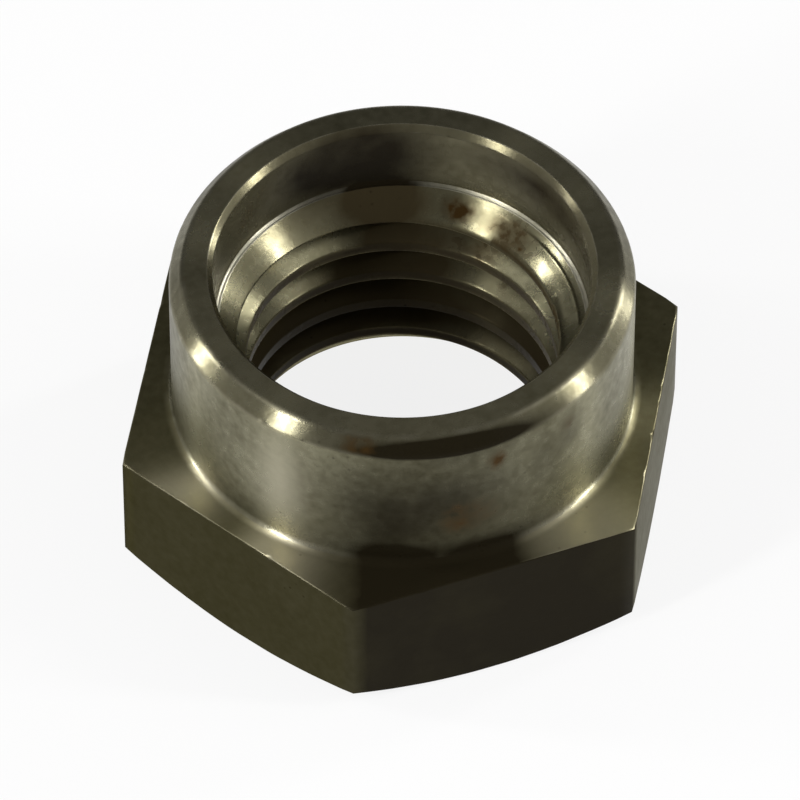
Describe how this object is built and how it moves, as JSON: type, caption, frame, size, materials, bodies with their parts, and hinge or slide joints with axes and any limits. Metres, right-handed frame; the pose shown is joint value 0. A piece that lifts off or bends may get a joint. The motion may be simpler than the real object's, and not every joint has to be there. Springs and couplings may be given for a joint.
{
  "type": "hex weld nut",
  "caption": "Heavy hexagonal weld nut with a round collar, a recess in the collar's top and a coarse right-hand thread right through.",
  "frame": {"origin": "centre of the flat base, on the thread's axis", "axes": "+Z along the thread's axis towards the collar; two corners of the hexagon lie on the X axis and two flats face +Y and -Y"},
  "size_m": [0.0586, 0.0508, 0.0323],
  "materials": {
    "steel": "turned and milled bar steel, dark with oil, uncoated"
  },
  "bodies": {
    "root": {"hex_weld_nut": "steel"}
  },
  "joints": []
}
